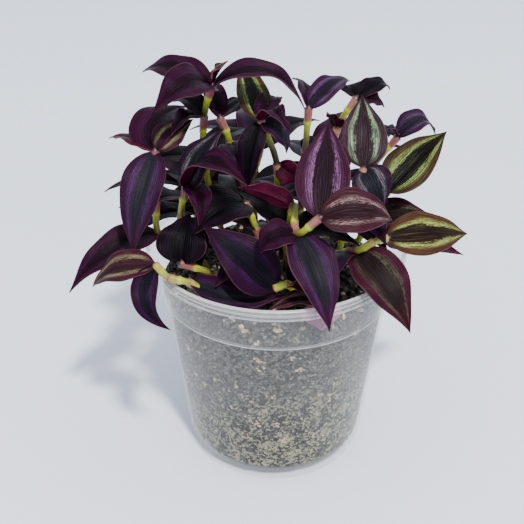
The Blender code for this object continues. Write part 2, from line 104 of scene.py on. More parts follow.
# The plant
STEM_R = 1.45
NODE_R = 1.85
SHEATH_R = 1.95
SHEATH_LENGTH = 6.5
MIN_BARE_ROOM = 9.0  # nodes closer than this have no bare stem between them
BUD_LENGTH = 1.8
BLADE = 0.8  # thickness
BLADE_CLEARANCE = 0.35  # kept on each face of a blade
MARGIN_CLEARANCE = 0.5  # kept along each margin
TUBE_CLEARANCE = 0.3  # kept round a stem
GUARD_SIDES = 8  # of the tube round a stem that leaves keep out of
LEAF_GRID = (5, 4)  # rows and columns
FILLER_GRID = (4, 2)
BLADE_NECK = 1.3  # half-width at the very base, inside the stem
BASE_STEP = 0.25  # leaves of one node start this much further out in turn
WIDEST = 0.62  # exponents of the outline: rounded base, drawn-out tip
TAPER = 1.28

# at: the node that the leaf grows from; tip: where its point is; arch and sweep: how far the midrib bows
# up and sideways from a straight line; hook: below 1 the tip turns down; roll, twist: degrees about the
# midrib; fold: how far the halves rise from the midrib, in radians; wave: height of the waved margin;
# filler leaves take the room that the others leave.
LEAF_DEFAULTS = (4.0, 0.0, 1.0, 0.0, 0.0, 0.30, 0.7, False)
Leaf = namedtuple("Leaf", "at tip width arch sweep hook roll twist fold wave filler", defaults=LEAF_DEFAULTS)
Stem = namedtuple("Stem", "nodes leaves")

# How a leaf that would touch another stem is moved: (scale, yaw, pitch), tried in this order.
TURN_SIGNS = [(0, 1), (0, -1), (1, 0), (-1, 0), (1, 1), (-1, 1), (1, -1), (-1, -1)]
TURNS = [(1.0, 0, 0)] + [
    (scale, size * yaw_sign, size * pitch_sign)
    for scale in (1.0, 0.9, 0.75, 0.6) for size in (4, 8, 13, 18) for yaw_sign, pitch_sign in TURN_SIGNS
]

# Stems hidden behind the others: root x, root y, height of the top node and way of the lean, in degrees.
BACK_ROOTS = {"r": (-36, 24, 119, 122), "s": (-10, 42, 131, 98), "t": (18, 42, 122, 64)}
# Their leaves: node, turn from the lean and lift, in degrees.
BACK_FAN = [(2, -50, 4), (2, 4, 10), (2, 55, 0), (1, -75, -2), (1, 30, -6), (1, 85, -3)]
GOLDEN_ANGLE = radians(137.5)
CANOPY_R = 36.0

STEMS = {
    "a": Stem([(-24, 18, 98), (-29, 16, 120), (-33, 12, 146), (-32, 9, 168), (-28, 5, 184)], [
        Leaf(4, (-60, 26, 182), 15, 7, roll=-25), Leaf(4, (-52, -14, 179), 21, 9, roll=-22),
        Leaf(4, (12, 5, 173), 16, 13, roll=12, fold=0.5), Leaf(4, (-21, 5, 195), 11, 1, fold=0.6),
        Leaf(3, (-50, 20, 168), 14, 6), Leaf(3, (-46, -2, 163), 12, 5)]),
    "b": Stem([(-13, 14, 98), (-16, 13, 125), (-21, 10, 155), (-25, 10, 167)], [
        Leaf(3, (-31, 34, 175), 11, 4), Leaf(3, (-11, 28, 167), 11, 3),
        Leaf(2, (-12, -8, 144), 17, 6, roll=10)]),
    "c": Stem([(3, 10, 98), (0, 8, 124), (0, 3, 148), (-7, 0, 170)], [
        Leaf(3, (-16, 38, 182), 15, 2, roll=-10), Leaf(3, (4, -12, 170), 12, 7),
        Leaf(3, (4, -3, 156), 13, 5, roll=20), Leaf(2, (12, 4, 141), 12, 3, roll=90),
        Leaf(3, (-12, -8, 140), 13, 5), Leaf(3, (2, 20, 170), 12, 6)]),
    "d": Stem([(10, 16, 98), (12, 16, 124), (13, 14, 149), (14, 13, 170)], [
        Leaf(3, (34, 38, 173), 13, 6, roll=15), Leaf(3, (7, 36, 175), 12, 4, roll=30),
        Leaf(2, (21, 26, 149), 10, 2)]),
    "e": Stem([(20, 22, 98), (23, 24, 128), (28, 25, 155), (36, 25, 170)], [
        Leaf(3, (53, 40, 168), 10, 6, roll=20), Leaf(3, (49, 26, 165), 12, 3, roll=20),
        Leaf(3, (31, 42, 169), 12, 4), Leaf(2, (22, 16, 166), 9, 2)]),
    "f": Stem([(4, -6, 98), (5, -12, 122), (7, -22, 140), (8, -38, 136), (17, -43, 146)], [
        Leaf(4, (22, 1, 169), 24, 3), Leaf(4, (48, -33, 139), 21, 8, roll=38),
        Leaf(3, (21, -65, 105), 22, 5), Leaf(3, (-8, -41, 127), 15, 7, roll=-25),
        Leaf(2, (-17, -22, 149), 11, 3, roll=80)]),
    "g": Stem([(22, -14, 98), (27, -20, 115), (34, -31, 123), (41, -30, 127), (47, -25, 126)], [
        Leaf(2, (56, -55, 97), 24, 6, roll=15), Leaf(4, (87, -4, 116), 21, 4, roll=48),
        Leaf(4, (88, 2, 101), 14, 3, roll=-75)]),
    "h": Stem([(28, -2, 98), (31, -5, 120), (35, -8, 137), (38, -4, 149)], [
        Leaf(3, (47, -13, 134), 19, 3, roll=35), Leaf(2, (45, -31, 121), 15, 3, roll=10),
        Leaf(3, (38, 20, 174), 22, 2)]),
    "i": Stem([(36, 8, 98), (42, 5, 116), (49, -3, 137)], [
        Leaf(2, (78, 22, 155), 22, 3, roll=22), Leaf(1, (72, 6, 119), 18, 8, roll=40),
        Leaf(1, (44, 18, 140), 17, 2, filler=True)]),
    "j": Stem([(30, 32, 98), (41, 37, 121), (58, 38, 145)], [
        Leaf(2, (77, 45, 143), 17, 9, roll=10), Leaf(2, (49, 36, 149), 7, 3),
        Leaf(2, (58, 70, 130), 17, 5, filler=True), Leaf(1, (32, 66, 112), 17, 5, filler=True)]),
    "k": Stem([(-38, 2, 98), (-47, 0, 108), (-54, -3, 116), (-54, -3, 133), (-53, -3, 157)], [
        Leaf(2, (-93, -24, 97), 20, 8, roll=-12), Leaf(3, (-33, 6, 120), 16, 4),
        Leaf(4, (-63, -25, 118), 20, 7, roll=-10), Leaf(4, (-38, 9, 169), 15, 2, roll=20),
        Leaf(4, (-40, 27, 167), 24, 4, sweep=-6), Leaf(4, (-76, 17, 154), 12, 3)]),
    "l": Stem([(-32, -4, 98), (-40, -5, 112), (-43, -6, 126), (-40, -5, 141)], [
        Leaf(3, (-23, 1, 166), 18, 3, roll=25), Leaf(3, (-10, -22, 147), 18, 13, roll=8),
        Leaf(3, (-34, -25, 131), 12, 6, sweep=-3), Leaf(2, (-33, -24, 110), 16, 4)]),
    "m": Stem([(-4, -8, 98), (-6, -13, 112), (-9, -12, 123), (-14, -8, 134)], [
        Leaf(3, (-37, -25, 131), 25, 6, roll=-15)]),
    "n": Stem([(10, -32, 98), (8, -34, 105), (4, -37, 110), (-1, -37, 108)], [
        Leaf(3, (-32, -28, 134), 24, 3, roll=-42)]),
    "o": Stem([(-27, -32, 98), (-33, -37, 107), (-38, -40, 113), (-46, -41, 116), (-52, -36, 119)], [
        Leaf(4, (-45, -53, 97), 12, 2, sweep=9), Leaf(4, (-81, -30, 104), 17, 6, roll=-25),
        Leaf(2, (3, -52, 119), 17, -7, roll=20)]),
    "p": Stem([(-22, -20, 98), (-29, -25, 108), (-42, -28, 115)], [
        Leaf(2, (-39, -14, 133), 24, 3)]),
    "q": Stem([(14, -38, 98), (18, -42, 104)], [
        Leaf(1, (-4, -53, 107), 12, 3), Leaf(1, (4, -42, 112), 7, 2), Leaf(1, (19, -49, 94), 19, 1)]),
}


def smooth_line(nodes, steps=12):
    """Points of a Catmull-Rom curve through the nodes, with the index of each node among them."""
    points = [Vector(n) for n in nodes]
    ends = [2 * points[0] - points[1], *points, 2 * points[-1] - points[-2]]
    line, at_node = [], []
    for before, start, end, after in zip(ends, ends[1:], ends[2:], ends[3:]):
        at_node.append(len(line))
        for step in range(steps):
            t = step / steps
            square = (2 * before - 5 * start + 4 * end - after) * t**2
            cube = (3 * start - before - 3 * end + after) * t**3
            line.append(0.5 * (2 * start + (end - before) * t + square + cube))
    at_node.append(len(line))
    line.append(points[-1])
    return line, at_node


def point_back(line, index, distance):
    """The point that lies distance before line[index], measured along the line."""
    while index > 0:
        step = (line[index] - line[index - 1]).length
        if step >= distance:
            return line[index].lerp(line[index - 1], distance / step)
        distance -= step
        index -= 1
    return line[0]


def room_and_sheath(line, start, end):
    """The distance between two nodes, and the length of the upper one's sheath."""
    room = (line[end] - line[start]).length
    return room, min(SHEATH_LENGTH, 0.5 * room)


def stem_sections(nodes):
    """(centre, radius) from the root up: bare stem, swollen node and flared sheath under each leaf."""
    line, at_node = smooth_line(nodes)
    root = line[0] - UP * (HOLE_DEPTH - SEAT_GAP)
    sections = [(root, STEM_R), (line[0], STEM_R)]
    for start, end in zip(at_node, at_node[1:]):
        room, sheath = room_and_sheath(line, start, end)
        if room > MIN_BARE_ROOM:
            sections.append((point_back(line, end, sheath + 1.8), STEM_R))
        sections.append((point_back(line, end, sheath), NODE_R))
        sections.append((line[end], SHEATH_R))
        if end != at_node[-1]:
            sections.append((line[end].lerp(line[end + 2], 0.9), STEM_R))
    bud = (line[-1] - line[-2]).normalized() * BUD_LENGTH
    sections.append((line[-1] + bud, STEM_R * 0.6))
    return sections


def blade_axes(base, tip, roll):
    """Along the leaf, out of its upper face, and to its side."""
    along = (tip - base).normalized()
    face = (UP - along * along.dot(UP)).normalized()
    face = Matrix.Rotation(radians(roll), 3, along) @ face
    return along, face, along.cross(face)


def half_width(leaf, t):
    widest = WIDEST / (WIDEST + TAPER)
    peak = widest**WIDEST * (1 - widest) ** TAPER
    outline = t**WIDEST * (1 - t) ** TAPER / peak
    return max(leaf.width / 2 * outline, BLADE_NECK * (1 - t) ** 4)


def midrib(leaf, base, tip, t):
    _, face, side = blade_axes(base, tip, leaf.roll)
    bow = t * (1 - t) ** leaf.hook
    top = 1 / (1 + leaf.hook)
    bow /= top * (1 - top) ** leaf.hook
    return base.lerp(tip, t) + (face * leaf.arch + side * leaf.sweep) * bow


def blade_frame(leaf, base, tip, t):
    """The midrib's point at t, the directions to the side and out of the face, and the half-width."""
    centre = midrib(leaf, base, tip, t)
    ahead = midrib(leaf, base, tip, min(t + 0.02, 1.0)) - midrib(leaf, base, tip, max(t - 0.02, 0.0))
    side = Matrix.Rotation(radians(leaf.twist * t), 3, ahead) @ blade_axes(base, tip, leaf.roll)[2]
    face = side.cross(ahead).normalized()
    return centre, ahead.cross(face).normalized(), face, half_width(leaf, t)


def across_blade(leaf, spot, t, u):
    """A point of the leaf's middle surface, u going from one margin (-1) to the other (1)."""
    centre, side, face, half = spot
    across = half * abs(u)
    rise = across * sin(leaf.fold) - 0.35 * half * sin(leaf.fold) * u * u
    wave = leaf.wave * sin(tau * (2.3 * t + 0.17 * leaf.width) + (1.4 if u > 0 else 0.0))
    rise += wave * u * u * sin(pi * t)
    return centre + side * copysign(across * cos(leaf.fold), u) + face * rise


def blade_tree(leaf, base, tip):
    """The faces of a plain thick blade: a grid bent to the leaf's form."""
    thickness = BLADE + 2 * BLADE_CLEARANCE
    rows, columns = FILLER_GRID if leaf.filler else LEAF_GRID
    mesh = bmesh.new()
    bmesh.ops.create_grid(mesh, x_segments=columns, y_segments=rows, size=1.0)
    for vertex in mesh.verts:
        u, t = vertex.co.x, min(max((vertex.co.y + 1) / 2, 0.0), 1.0) ** 1.25
        vertex.co = across_blade(leaf, blade_frame(leaf, base, tip, t), t, u)
    bmesh.ops.remove_doubles(mesh, verts=mesh.verts, dist=0.001)
    bmesh.ops.triangulate(mesh, faces=mesh.faces)
    mesh.normal_update()
    for vertex in mesh.verts:
        vertex.co += vertex.normal * (thickness / 2)
    bmesh.ops.solidify(mesh, geom=mesh.faces, thickness=thickness)
    tree = BVHTree.FromBMesh(mesh)
    mesh.free()
    return tree


def turned_tip(base, tip, yaw, pitch, scale):
    """The tip after the leaf turns about the vertical and lifts, both in degrees."""
    chord = (tip - base) * scale
    chord = Matrix.Rotation(radians(yaw), 3, UP) @ chord
    level = chord.cross(UP)
    return base + Matrix.Rotation(radians(pitch), 3, level) @ chord


def with_back_stems(stems):
    """The front stems, after plainer ones that fill the back by rule."""
    rng = random.Random(7)
    plant = {}
    for name, (x, y, top, lean) in BACK_ROOTS.items():
        out = radians(lean)
        nodes = [(x, y, SOIL_Z)]
        for step in (1, 2):
            swing = out + rng.uniform(-0.4, 0.4)
            reach, height = 6.0 * step, SOIL_Z + (top - SOIL_Z) * step / 2
            nodes.append((x + reach * cos(swing), y + reach * sin(swing), height))
        leaves = []
        for at, turn, lift in BACK_FAN:
            azimuth = out + radians(turn + rng.uniform(-10, 10))
            length = rng.uniform(38, 47)
            rise = radians(lift + rng.uniform(-7, 7))
            level = length * cos(rise)
            x, y, z = nodes[at]
            tip = (x + level * cos(azimuth), y + level * sin(azimuth), z + length * sin(rise))
            leaves.append(Leaf(at, tip, rng.uniform(15.5, 19.5), rng.uniform(4, 8), filler=True))
        plant[name] = Stem(nodes, leaves)
    return {**plant, **stems}


def with_lower_leaves(stems):
    """The stems, with two leaves more at each bare node in the middle of the plant."""
    plant, turn = {}, 0.0
    for name, stem in stems.items():
        leaves = list(stem.leaves)
        for at in range(1, len(stem.nodes)):
            x, y, z = stem.nodes[at]
            if hypot(x, y) > CANOPY_R or any(leaf.at == at for leaf in stem.leaves):
                continue
            for _ in range(2):
                turn += GOLDEN_ANGLE
                tip = (x + 33 * cos(turn), y + 33 * sin(turn), z + 7 * sin(3 * turn))
                leaves.append(Leaf(at, tip, 17, 4.5, filler=True))
        plant[name] = Stem(stem.nodes, leaves)
    return plant


def polar(radius, angle, z=0.0):
    return Vector((radius * cos(angle), radius * sin(angle), z))


def ring(radius, sides, z=0.0):
    return [polar(radius, tau * side / sides, z) for side in range(sides)]


def tube_faces(rings, sides):
    """Corners of the faces between rings of points, and of both ends."""
    faces = []
    for low in range(0, (rings - 1) * sides, sides):
        for side in range(sides):
            after = (side + 1) % sides
            faces.append((low + side, low + after, low + after + sides, low + side + sides))
    return [*faces, tuple(range(sides))[::-1], tuple(range((rings - 1) * sides, rings * sides))]


def turned_mesh(profile, sides):
    """Points and faces of a profile that starts and ends on the axis, turned about it."""
    verts = [Vector((0, 0, profile[0][1]))]
    for radius, z in profile[1:-1]:
        verts += ring(radius, sides, z)
    verts.append(Vector((0, 0, profile[-1][1])))
    faces, last = [], len(verts) - 1
    for side in range(sides):
        after = (side + 1) % sides
        faces.append((0, 1 + side, 1 + after))
        for low in range(1, last - sides, sides):
            faces.append((low + side, low + sides + side, low + sides + after, low + after))
        faces.append((last, last - sides + after, last - sides + side))
    return verts, faces


def tube_tree(sections):
    """The faces of a tube round a stem, which leaves are kept off."""
    verts = []
    for (centre, radius), (ahead, _) in zip(sections, [*sections[1:], sections[-1]]):
        axis = (ahead - centre) if (ahead - centre).length > 0.01 else axis
        spin = UP.rotation_difference(axis).to_matrix()
        verts += [centre + spin @ (spoke * (radius + TUBE_CLEARANCE)) for spoke in ring(1, GUARD_SIDES)]
    return BVHTree.FromPolygons(verts, tube_faces(len(sections), GUARD_SIDES))


def clear_leaves(stems):
    """{stem: [(leaf, base, tip)]}, each leaf turned or shortened until it touches nothing else."""
    pot, soil = turned_mesh(pot_profile(), POT_SIDES), turned_mesh(soil_profile(), SOIL_SIDES)
    in_the_way = [("pot", BVHTree.FromPolygons(*pot)), ("soil", BVHTree.FromPolygons(*soil))]
    in_the_way += [(name, tube_tree(stem_sections(stem.nodes))) for name, stem in stems.items()]
    wanted = [(name, leaf, rank) for name, stem in stems.items() for rank, leaf in enumerate(stem.leaves)]
    placed = defaultdict(list)
    for name, leaf, rank in sorted(wanted, key=lambda entry: entry[1].filler):
        base, aim = Vector(stems[name].nodes[leaf.at]), Vector(leaf.tip)
        base += (aim - base).normalized() * BASE_STEP * (rank % 4)
        for scale, yaw, pitch in TURNS:
            fit = leaf._replace(width=leaf.width * scale)
            tip = turned_tip(base, aim, yaw, pitch, scale)
            tree = blade_tree(fit._replace(width=fit.width + 2 * MARGIN_CLEARANCE), base, tip)
            if not any(other != name and tree.overlap(thing) for other, thing in in_the_way):
                in_the_way.append((name, tree))
                placed[name].append((fit, base, tip))
                break
    return placed


def inner_profile():
    """Inside of the pot's wall, from the floor up to the lip."""
    low = [(FOOT_R - 1.0, FLOOR_Z + WALL), (HEEL_R - WALL, HEEL_Z + 1.0), (SHOULDER_R - WALL, LEDGE_Z - 1.2)]
    return [*low, (COLLAR_FOOT_R - WALL, LEDGE_Z + 0.8), (COLLAR_TOP_R - WALL, LIP_LOW)]


def pot_profile():
    """From the middle of the floor up the inside, over the lip, down the outside and under the foot."""
    lip = [(57.6, POT_H - 0.6), (58.1, POT_H), (RIM_R - 0.6, POT_H), (RIM_R, POT_H - 0.7)]
    lip += [(RIM_R, LIP_LOW + 0.6), (RIM_R - 0.7, LIP_LOW), (COLLAR_TOP_R, LIP_LOW - 0.3)]
    wall = [(COLLAR_FOOT_R, LEDGE_Z), (SHOULDER_R, LEDGE_Z - 0.7), (HEEL_R, HEEL_Z), (FOOT_R + 1.3, 3.0)]
    foot = [(FOOT_R, 0), (FOOT_R - 1.2, 0), (FOOT_R - 1.2, FLOOR_Z), (0, FLOOR_Z)]
    return [(0, FLOOR_Z + WALL), *inner_profile(), *lip, *wall, *foot]


def soil_profile():
    """A crowned top, then down a wall that stays clear of the pot's."""
    wall = [(radius - SEAT_GAP, z) for radius, z in inner_profile()]
    low, high = wall[3], wall[4]
    part_way = (SOIL_EDGE_Z - low[1]) / (high[1] - low[1])
    edge = low[0] + (high[0] - low[0]) * part_way - 0.1
    top = [*SOIL_TOP, (edge - 1.5, SOIL_EDGE_Z + 0.3), (edge, SOIL_EDGE_Z - 0.8)]
    floor = FLOOR_Z + WALL + SEAT_GAP
    return [*top, *wall[3:0:-1], (wall[0][0] - 0.2, floor), (0, floor)]


# ---- Placing and joining ----


def place(point):
    """A point in millimetres from the pot's axis, in the frame's metres."""
    return Vector(point) * MM + POT_AXIS


def set_up(thing, **settings):
    """The thing, with these attributes set."""
    for key, value in settings.items():
        setattr(thing, key, value)
    return thing


def in_scene(name, data):
    """A new object in the scene, with this mesh, light or camera."""
    thing = bpy.data.objects.new(name, data)
    bpy.context.scene.collection.objects.link(thing)
    return thing


def piece(name, verts, faces, materials, slot):
    """A new smooth mesh object in the frame, from points in millimetres."""
    mesh = bpy.data.meshes.new(name)
    mesh.from_pydata([place(vert) for vert in verts], [], faces)
    for made in materials:
        mesh.materials.append(made)
    mesh.shade_smooth()
    thing = in_scene(name, mesh)
    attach(thing, "root")
    return thing


def paint(thing, layers):
    """Writes each layer, a number or a colour for each vertex, for the materials to read."""
    for name, values in layers.items():
        kind, field = ("FLOAT_COLOR", "color") if isinstance(values[0], list) else ("FLOAT", "value")
        layer = thing.data.attributes.new(name, kind, "POINT")
        layer.data.foreach_set(field, np.asarray(values, np.float32).ravel())


def reshape(thing, kind, **settings):
    """Applies a modifier with these settings to the object's mesh."""
    set_up(thing.modifiers.new("shape", kind), **settings)
    made = bpy.data.meshes.new_from_object(thing.evaluated_get(bpy.context.evaluated_depsgraph_get()))
    thing.modifiers.clear()
    thing.data = made


def shifted(faces, start):
    """The faces, with their corners counted from start."""
    return [tuple(start + corner for corner in face) for face in faces]


# ---- Materials ----


class Value:
    """An output of a node; sums, differences and products of it are further nodes."""

    def __init__(self, nodes, socket):
        self.nodes = nodes
        self.socket = socket

    def __add__(self, other):
        return self.nodes.math("ADD", self, other)

    def __sub__(self, other):
        return self.nodes.math("SUBTRACT", self, other)

    def __mul__(self, other):
        return self.nodes.math("MULTIPLY", self, other)


class Nodes:
    """Short calls for a node material."""

    def __init__(self, name):
        self.material = bpy.data.materials.new(name)
        self.material.use_nodes = True
        self.tree = self.material.node_tree
        self.shader = self.tree.nodes["Principled BSDF"]

    def feed(self, socket, source):
        if isinstance(source, Value):
            self.tree.links.new(source.socket, socket)
        else:
            socket.default_value = source

    def add(self, kind, links=(), output=0, **settings):
        """A new node with these inputs and settings; gives one of its outputs."""
        node = set_up(self.tree.nodes.new("ShaderNode" + kind), **settings)
        for socket, source in dict(links).items():
            self.feed(node.inputs[socket], source)
        return Value(self, node.outputs[output])

    def number(self, name):
        return self.add("Attribute", output="Fac", attribute_name=name)

    def tint(self, name):
        return self.add("Attribute", output="Color", attribute_name=name)

    def math(self, operation, *values, clamp=False):
        return self.add("Math", enumerate(values), operation=operation, use_clamp=clamp)

    def band(self, value, start, end, low=0.0, high=1.0):
        """low before start, high after end, and a smooth turn between them."""
        links = {"Value": value, "From Min": start, "From Max": end, "To Min": low, "To Max": high}
        return self.add("MapRange", links, interpolation_type="SMOOTHSTEP")

    def fade(self, value, start, end, high=1.0):
        """high before start, 0 after end."""
        return self.band(value, start, end, high, 0.0)

    def line(self, value, middle, half):
        """1 at the middle, 0 beyond half to either side."""
        return self.fade(self.math("ABSOLUTE", value - middle), 0.0, half)

    def mix(self, share, first, second, blend="MIX"):
        links = {0: share, 6: first, 7: second}
        return self.add("Mix", links, 2, data_type="RGBA", blend_type=blend)

    def noise(self, vector, scale, detail=2.0, roughness=0.5, output=0):
        links = {"Vector": vector, "Scale": scale, "Detail": detail, "Roughness": roughness}
        return self.add("TexNoise", links, output)

    def grains(self, vector, scale):
        """A number of its own for each ragged grain, from 0 to 1."""
        shift = self.noise(vector, 2.2 * scale, 1.0, output="Color")
        jag = self.add("VectorMath", {0: shift, "Scale": 0.9 / scale}, operation="SCALE")
        ragged = self.add("VectorMath", {0: vector, 1: jag}, operation="ADD")
        drawn = self.add("TexVoronoi", {"Vector": ragged, "Scale": scale}, "Color")
        return self.part(drawn, "X")

    def combine(self, x, y, z):
        return self.add("CombineXYZ", {"X": x, "Y": y, "Z": z})

    def part(self, vector, axis):
        return self.add("SeparateXYZ", {"Vector": vector}, axis)

    def position(self):
        return self.add("TexCoord", output="Object")

    def surface(self, color, roughness, **others):
        """Sets the shader's sockets; the others are named with underscores for spaces."""
        for name, source in {"Base Color": color, "Roughness": roughness, **others}.items():
            self.feed(self.shader.inputs[name.replace("_", " ")], source)

    def bump(self, height, strength, distance):
        links = {"Height": height, "Strength": strength, "Distance": distance}
        self.feed(self.shader.inputs["Normal"], self.add("Bump", links))


VEINS = 64.0  # radians of vein waves from the midrib to a margin


def leaf_top_material():
    """Lengthwise stripes that follow the margins: centre, silvery stripe, margin and a fine pale rim, partly
    a painted edge highlight.
    """
    n = Nodes("leaf_top")
    across, along, seed = n.number("across"), n.number("along"), n.number("seed")
    off_centre = n.math("ABSOLUTE", across)

    def texture(over, down, detail, roughness):
        """Noise with so many grains across the blade and along it."""
        return n.noise(n.combine(across * over, along * down, seed), 1.0, detail, roughness)

    streaks = texture(26.0, 2.6, 3.0, 0.65)
    threads = texture(44.0, 3.4, 2.0, 0.6)
    flecks = texture(30.0, 34.0, 2.0, 0.75)
    clouds = texture(3.0, 4.0, 2.0, 0.5)
    ragged = off_centre + (streaks - 0.5) * 0.42 + (clouds - 0.5) * 0.30 + (flecks - 0.5) * 0.28

    stripe = n.band(ragged, 0.36, 0.47) * n.fade(ragged, 0.58, 0.73)
    ends = n.band(along, 0.02, 0.16) * n.fade(along, 0.80, 0.97)
    unbroken = n.math("SUBTRACT", 1.0, n.fade(flecks, 0.38, 0.58) * n.number("flecks"))
    cover = n.band(threads, 0.38, 0.60, 0.12, 1.0) * unbroken * n.band(clouds, 0.34, 0.58, 0.5, 1.0)
    stripe = n.math("MULTIPLY", stripe * ends, cover * n.number("stripe"), clamp=True)

    silver = n.tint("stripe_tint")
    ground = n.mix(n.band(ragged, 0.36, 0.74), n.tint("centre_tint"), n.tint("margin_tint"))
    ground = n.mix(n.band(along, 0.62, 1.0, 0.0, 0.75), ground, n.tint("tip_tint"))
    veins = n.math("SINE", across * VEINS)
    shade = (n.band(streaks, 0.25, 0.75, 0.55, 1.5) + veins * 0.10) * n.band(flecks, 0.3, 0.7, 0.75, 1.3)
    ground = n.mix(1.0, ground, n.combine(shade, shade, shade), "MULTIPLY")
    # Faint pale threads in the stripe colour over the whole blade: the leaf's own fine silvery streaks,
    # together with a painted sheen along the veins.
    ground = n.mix(n.band(threads, 0.55, 0.72, 0.0, 0.16), ground, silver)
    color = n.mix(stripe, ground, silver)
    color = n.mix(n.fade(off_centre, 0.012, 0.035, 0.55), color, (0.006, 0.003, 0.005, 1))
    # A fine pale rim along each margin: the margin's own pale edge and hairs, with a painted edge highlight.
    color = n.mix(n.band(off_centre, 0.955, 0.99, 0.0, 0.45), color, (0.12, 0.045, 0.060, 1))
    n.surface(color, n.band(flecks, 0.2, 0.8, 0.30, 0.50), Specular_IOR_Level=0.06)
    n.bump(veins * 0.35 + flecks * 0.5 + streaks * 1.2, 0.6, 0.0003)
    return n.material


def leaf_under_material():
    n = Nodes("leaf_underside")
    across = n.number("across")
    streaks = n.noise(n.combine(across * 14.0, n.number("along") * 3.0, n.number("seed")), 1.0, 3.0, 0.6)
    color = n.mix(n.band(streaks, 0.3, 0.7, 0.25, 1.0), (0.010, 0.002, 0.006, 1), n.tint("under_tint"))
    color = n.mix(n.fade(n.math("ABSOLUTE", across), 0.0, 0.06, 0.5), color, (0.14, 0.025, 0.06, 1))
    n.surface(color, n.band(streaks, 0.3, 0.7, 0.38, 0.5), Specular_IOR_Level=0.05)
    n.bump(n.math("SINE", across * VEINS) + streaks, 0.3, 0.0003)
    return n.material


def stem_material():
    n = Nodes("stem")
    streaks = n.noise(n.combine(n.number("round") * 5.0, n.number("length") * 0.12, 0.0), 1.0, 3.0, 0.6)
    color = n.mix(n.band(streaks, 0.52, 0.70, 0.0, 0.55), n.tint("tint"), (0.045, 0.009, 0.020, 1))
    color = n.mix(n.fade(streaks, 0.25, 0.42, 0.25), color, (0.28, 0.26, 0.13, 1))
    glow = {"Subsurface_Weight": 0.15, "Subsurface_Scale": 0.001}
    n.surface(color, n.band(streaks, 0.3, 0.7, 0.34, 0.52), **glow)
    n.bump(streaks, 0.3, 0.0003)
    return n.material


def hair_material():
    n = Nodes("hair")
    color = n.mix(n.noise(n.position(), 900.0), (0.30, 0.22, 0.22, 1), (0.45, 0.38, 0.34, 1))
    n.surface(color, 0.45)
    return n.material


def pot_material():
    """Milky clear plastic: alpha lets the mix show, and haze and scuffs come from noise."""
    n = Nodes("milky_polypropylene")
    spot = n.position()
    height = n.part(spot, "Z") * 1000.0
    haze, scuffs = n.noise(spot, 55.0, 3.0, 0.55), n.noise(spot, 900.0, 2.0, 0.6)
    body = n.band(height, 14.0, 66.0, 0.0, 0.026) + (haze - 0.5) * 0.012
    foot = n.fade(height, 4.5, 9.0, 0.012)
    grazing = n.math("POWER", n.add("LayerWeight", {"Blend": 0.28}, "Facing"), 2.0)
    # Two thin bands of higher alpha along the step and its bead: a painted highlight on the ledge.
    ledge = n.line(height, LEDGE_Z + 0.25, 0.38) + n.line(height, LEDGE_Z - 0.85, 0.25)
    lip = n.band(height, LIP_LOW - 0.6, LIP_LOW + 0.4)
    # Thin bands of higher alpha at the lip's top edge, its groove and its lower edge: painted highlights.
    lip_edge_highlights = n.line(height, POT_H, 0.5) + n.line(height, POT_H - 1.75, 0.35)
    lip_edge_highlights += n.line(height, LIP_LOW + 0.1, 0.5)
    wall = body + foot + grazing * 0.50 + ledge * 0.50
    alpha = n.math("MAXIMUM", wall, lip * (lip_edge_highlights * 0.30 + 0.16), clamp=True)
    color = n.mix(haze, (0.73, 0.725, 0.71, 1), (0.83, 0.825, 0.81, 1))
    n.surface(color, n.band(haze, 0.3, 0.7, 0.22, 0.36), Alpha=alpha, IOR=1.49)
    n.bump(scuffs + haze * 2.0, 0.12, 0.0004)
    return n.material


def mix_material():
    """Dark fibrous mix above; pale grit speckled with black below a wavy line."""
    n = Nodes("potting_mix")
    spot = n.position()
    sway = (n.noise(spot, 16.0) - 0.5) * 34.0
    stray = (n.noise(spot, 330.0, 2.0, 0.6) - 0.5) * 60.0
    level = n.part(spot, "Z") * 1000.0 - (sway + stray) - n.part(spot, "X") * 190.0
    grit_share = n.fade(level, 36.0, 58.0)

    coarse, fine = n.grains(spot, 980.0), n.grains(spot, 1750.0)
    either = fine * 0.35 + coarse * 0.65
    blotches = n.noise(spot, 90.0, 3.0, 0.6)
    dark = n.mix(n.band(either, 0.35, 0.80), (0.002, 0.002, 0.002, 1), (0.120, 0.114, 0.098, 1))
    dark = n.mix(n.band(blotches, 0.42, 0.75, 0.0, 0.35), dark, (0.070, 0.067, 0.060, 1))
    dark = n.mix(n.band(coarse, 0.93, 0.96, 0.0, 0.5), dark, (0.30, 0.27, 0.20, 1))
    black_below = n.band(n.noise(spot, 130.0, 3.0, 0.6), 0.3, 0.7, 0.74, 0.36)
    pale = n.mix(fine, (0.080, 0.076, 0.046, 1), (0.37, 0.35, 0.220, 1))
    pale = n.mix(n.fade(either - black_below, -0.03, 0.03), pale, (0.004, 0.004, 0.004, 1))

    fibre = n.noise(spot, 520.0, 5.0, 0.75)
    roughness = n.band(fibre, 0.3, 0.7, 0.72, 0.95)
    n.surface(n.mix(grit_share, dark, pale), roughness, Specular_IOR_Level=0.08)
    n.bump(fibre + fine * 0.6, 0.8, 0.0010)
    return n.material


def grain_material(name, dark, light):
    n = Nodes(name)
    spot = n.position()
    color = n.mix(n.band(n.noise(spot, 380.0, 3.0, 0.6), 0.3, 0.7), dark, light)
    n.surface(color, n.band(n.noise(spot, 700.0), 0.3, 0.7, 0.6, 0.9))
    n.bump(n.noise(spot, 1100.0, 2.0, 0.6), 0.6, 0.0005)
    return n.material


def floor_material():
    n = Nodes("floor")
    color = n.mix(n.noise(n.position(), 3.0), (0.71, 0.755, 0.85, 1), (0.725, 0.77, 0.865, 1))
    n.surface(color, 0.75, Specular_IOR_Level=0.2)
    return n.material


# ---- Foliage ----

